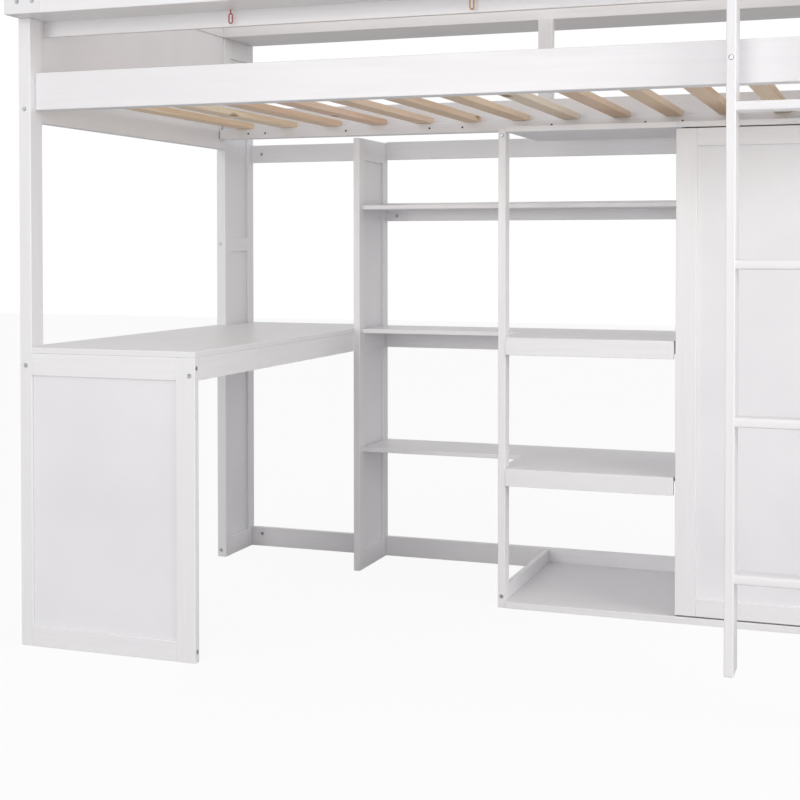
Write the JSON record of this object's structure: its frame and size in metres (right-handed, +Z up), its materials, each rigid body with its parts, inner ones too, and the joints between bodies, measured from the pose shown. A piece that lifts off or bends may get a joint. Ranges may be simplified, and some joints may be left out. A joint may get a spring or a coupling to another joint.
{
  "type": "loft bed with desk",
  "caption": "Painted wooden loft bed for a twin mattress, with a desk at one end, open shelves, a wardrobe, a ladder and trough-shaped guards.",
  "frame": {"origin": "floor level, under the middle of the bed's outer box", "axes": "+X along the bed from the desk end to the ladder end, +Y from the front, where the ladder is, to the back, +Z up"},
  "size_m": [2.03, 1.3026, 1.76],
  "materials": {
    "white_paint": "semi-gloss white paint on solid pine",
    "panel_paint": "semi-gloss white paint on MDF panel",
    "pine": "planed, unfinished pine",
    "steel": "zinc-plated",
    "nickel": "satin nickel",
    "hook_metal": "lacquered brass"
  },
  "bodies": {
    "bed": {"left_front_post": "white_paint", "right_front_post": "white_paint", "left_upright_stiles": "white_paint", "left_upright_rails": "white_paint", "left_upright_panels": "panel_paint", "right_upright_stiles": "white_paint", "right_upright_rails": "white_paint", "right_upright_panels": "panel_paint", "left_end_rail": "white_paint", "right_end_rail": "white_paint", "left_guard_board": "panel_paint", "right_guard_board": "panel_paint", "guard_caps": "white_paint", "front_side_rail": "white_paint", "rear_side_rail": "white_paint", "slat_ledgers": "white_paint", "slats": "pine", "trough_floor": "white_paint", "trough_front_board": "white_paint", "trough_stiles": "white_paint", "trough_inner_board": "white_paint", "trough_ends": "white_paint", "rear_trough_floor": "white_paint", "rear_trough_front": "white_paint", "rear_trough_back": "white_paint", "rear_guard_post": "white_paint", "desk_top": "white_paint", "desk_panel_stile": "white_paint", "desk_panel_rails": "white_paint", "desk_panel": "panel_paint", "desk_apron": "white_paint", "desk_left_rail": "white_paint", "divider_stiles": "white_paint", "divider_rails": "white_paint", "divider_panels": "panel_paint", "upper_back_rail": "white_paint", "lower_back_rail": "white_paint", "shelf_back_rails": "white_paint", "narrow_shelves": "white_paint", "bookcase_post": "white_paint", "bookcase_shelves": "white_paint", "bookcase_aprons": "white_paint", "bookcase_top": "white_paint", "base_board": "white_paint", "base_side_rail": "white_paint", "wardrobe_sides": "white_paint", "wardrobe_back": "panel_paint", "wardrobe_top": "white_paint", "hat_shelf": "white_paint", "hanging_rod": "steel", "rod_sockets": "steel", "door_pivots": "steel", "ladder_rails": "white_paint", "ladder_rungs": "white_paint", "frame_bolts": "steel", "trough_hooks": "hook_metal"},
    "door": {"door_stiles": "white_paint", "door_rails": "white_paint", "door_panel": "panel_paint", "door_knob": "nickel"}
  },
  "joints": [
    {"name": "door_hinge", "type": "hinge", "parent": "bed", "child": "door", "pos_m": [0.506, 0.1433, 0.66], "axis": [0, 0, -1], "range_deg": [0, 90]}
  ]
}
